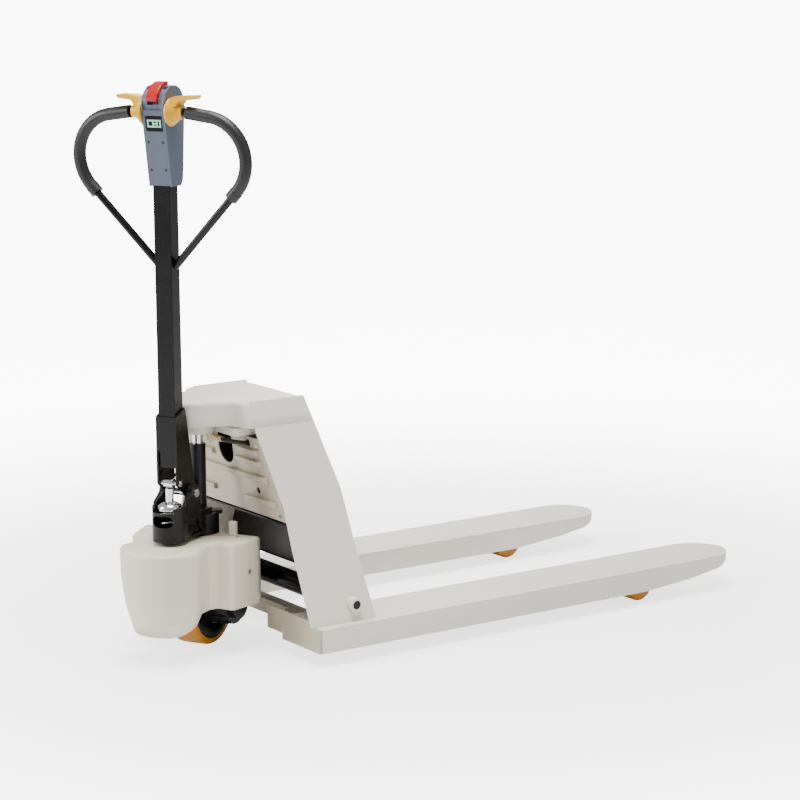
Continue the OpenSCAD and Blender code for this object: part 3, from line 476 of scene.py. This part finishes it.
# ---- Control head ------------------------------------------------------------
# Two moulded halves in grey plastic around the handle, screwed together, with a
# display, a red belly button and a yellow throttle.
head_grey = moulded("head_grey_plastic", colour(84, 93, 108), 0.4)
seam_grey = moulded("front_plate_plastic", colour(80, 89, 104), 0.42)
button_dark = moulded("button_plastic", colour(12, 15, 24), 0.3)
red = moulded("belly_red_plastic", colour(165, 0, 5), 0.28, 0.00001, 900, 0.1)
yellow = moulded("throttle_yellow_plastic", colour(228, 168, 0), 0.34, 0.00002, 900, 0)
softened("head_shell", 4.5, head_grey, 5)
softened("head_faceplate", 1.0, seam_grey)
face_foot = (0, -135, 1052)
face_lean = math.radians(9)
display_up = 139
at_face = at_drive @ Matrix.Translation(face_foot) @ Matrix.Rotation(face_lean, 4, "X")
screen = Finish("display_glass", Roughness=0.2, Specular_IOR_Level=0.15)
middle = at_face @ Vector((0, 0, display_up))
over = screen.along(middle, (at_face.to_3x3() @ Vector((1, 0, 0))).normalized() * 1000)
upward = screen.along(middle, (at_face.to_3x3() @ Vector((0, 0, 1))).normalized() * 1000)


def patch(x, z, wide, high):
    """1 inside a small rectangle of the display, 0 round it."""
    inside = (over - x).math("ABSOLUTE").math("LESS_THAN", wide / 2)
    return inside * (upward - z).math("ABSOLUTE").math("LESS_THAN", high / 2)


lit = patch(0, 0, 34, 17)
marks = patch(-9, 0, 9, 10) + patch(2, 3, 7, 3) + patch(2, -3, 7, 3) + patch(11, 0, 4, 11)
glow = lit * (1 - marks.math("MINIMUM", 1))
screen.give("Base Color", screen.mix(glow, colour(6, 8, 8), colour(150, 205, 170)))
screen.give("Emission Color", screen.mix(glow, (0, 0, 0, 1), colour(120, 200, 150)))
screen.give("Emission Strength", 0.5)
softened("display", 0.4, screen)
softened("head_screws", 0.3, button_dark)
softened("belly_button", 6.0, red, 6)
for use in ("horn", "speed"):
    softened(use + "_button", 0.8, button_dark)
softened("throttle_wings", 2.0, yellow, 4)
plain(zinc, "throttle_shaft")

# ---- Lifting frame -----------------------------------------------------------
# Bent and welded steel, powder coated: two forks, leaning side plates and what
# joins them, with the linkage that sets the load rollers down as it rises.


def paint(name, tint, rough=0.36, grain=700, depth=0.00006, drift=0.03, coat=0.15):
    """Baked powder coat: a slight orange peel and a faint drift of its tone."""
    finish = Finish(name, Coat_Weight=coat, Coat_Roughness=0.2)
    cloud = finish.noise(5, 4)
    finish.give("Base Color", finish.mix(
        cloud.between(0.3, 0.7), shade(tint, 1 - drift), shade(tint, 1 + drift)))
    finish.give("Roughness", rough + (finish.noise(30, 3) - 0.5) * 0.14)
    finish.bump(finish.noise(grain, 2) + finish.noise(grain / 6, 2) * 0.6, depth, 0.8)
    return finish


cream = paint("cream_powder_coat", colour(228, 222, 209))
# A darker copy of the cream coat: painted shade for the front panel and the heel member, which stand in shadow.
shaded_cream = paint("cream_powder_coat_painted_shade", colour(180, 170, 148))
case_black = moulded("battery_case_plastic", colour(16, 16, 17), 0.55, 0.0002, 600)
lead_black = moulded("lead_rubber", colour(10, 10, 11), 0.45, 0.00005, 900)
brass = metal("turned_brass", (0.80, 0.62, 0.38, 1), 0.26)

for part, edge in (("fork", 3.0), ("side_plate", 1.2)):
    for hand in ("left", "right"):
        softened(hand + "_" + part, edge, cream)

# ---- Head cover --------------------------------------------------------------
# A pressed cover with a round nose in front; its leaning sides lap over the
# side plates.


def loft(bm, rings):
    """A skin over rings of as many points each, the last one closed by a face."""
    rows = []
    for ring in rings:
        verts = [bm.verts.new(p) for p in ring]
        rows.append([bm.edges.new((verts[i - 1], vert)) for i, vert in enumerate(verts)])
    for low, high in zip(rows, rows[1:]):
        bmesh.ops.bridge_loops(bm, edges=low + high)
    bmesh.ops.contextual_create(bm, geom=rows[-1])


skirt_low, skirt_high = span("head_cover", at_frame)
plate_high = span("right_side_plate", at_frame)[1]
fork_high = span("right_fork", at_frame)[1]
lean = (plate_high.x - skirt_high.x) / (skirt_high.z - fork_high.z)
rim_r = 8


def cover_ring(z, inset):
    """The frame's head cover at one height: a round nose and leaning sides."""
    out = skirt_high.x + 0.5 + (skirt_high.z - z) * lean - inset
    back = skirt_high.y + (skirt_high.z - z) * 0.24 - inset
    r = -skirt_low.y - inset
    front = [(r * math.sin(a), -r * math.cos(a), 0)
             for a in (math.radians(d) for d in range(84, -85, -6))]
    side = [(out, back, 8), (out, 46, 16), (96 - inset, 30, 40)]
    other = [(-x, y, c) for x, y, c in reversed(side)]
    return [(p[0], p[1], z) for p in rounded(side + front + other, 6)]


skirt = bmesh.new()
rings = [(skirt_low.z, 0), (skirt_low.z + 20, 0), (skirt_high.z - rim_r, 0)]
rings += [(skirt_high.z - rim_r + rim_r * math.sin(a), rim_r - rim_r * math.cos(a))
          for a in (math.radians(15 * k) for k in range(1, 7))]
loft(skirt, [cover_ring(z, inset) for z, inset in rings])
finished("head_cover_skirt", skirt, cream, ["head_cover"], at_frame, 50, wall=3.2)

# ---- Panel, battery and linkage ----------------------------------------------
# The ribbed panel closes the front; behind it stand the battery and the crank,
# whose push rods run in the forks to the load rollers.
softened("head_block", 1.5, cream)
# The front panel takes the darker cream, which is painted shade.
panel = softened("front_panel", 1.0, shaded_cream)
panel_slope = 0.16
panel_top = (62, 512)
for vert in panel.data.vertices:
    # the pressed ribs stand well out of the panel
    flat = panel_top[0] + (panel_top[1] - vert.co.z * 1000) * panel_slope + axis_place.y * 1000
    proud = flat - vert.co.y * 1000
    if 0.8 < proud < 6:
        vert.co.y -= proud * 0.0011
softened("panel_screws", 0.8, zinc)
# The heel member takes the darker cream too, which is painted shade.
softened("heel_member", 1.2, shaded_cream)
softened("rear_brace", 1.0, steel_black)
softened("shaft_bosses", 1.5, cream)
softened("crank_shaft", 1.0, steel_black)
softened("battery_pack", 3.0, case_black)
softened("battery_tray", 0.8, steel_black)
softened("cable_gland", 0.8, brass)
softened("crank", 1.6, steel_black)
softened("push_rods", 1.0, steel_black)
softened("roller_brackets", 1.6, cream)
plain(chrome, "lift_ram")
plain(lead_black, "battery_cable")
plain(zinc, "bracket_pins", "lever_pins", "roller_axles")
for hand in ("left", "right"):
    softened(hand + "_load_roller", 1.0, urethane)
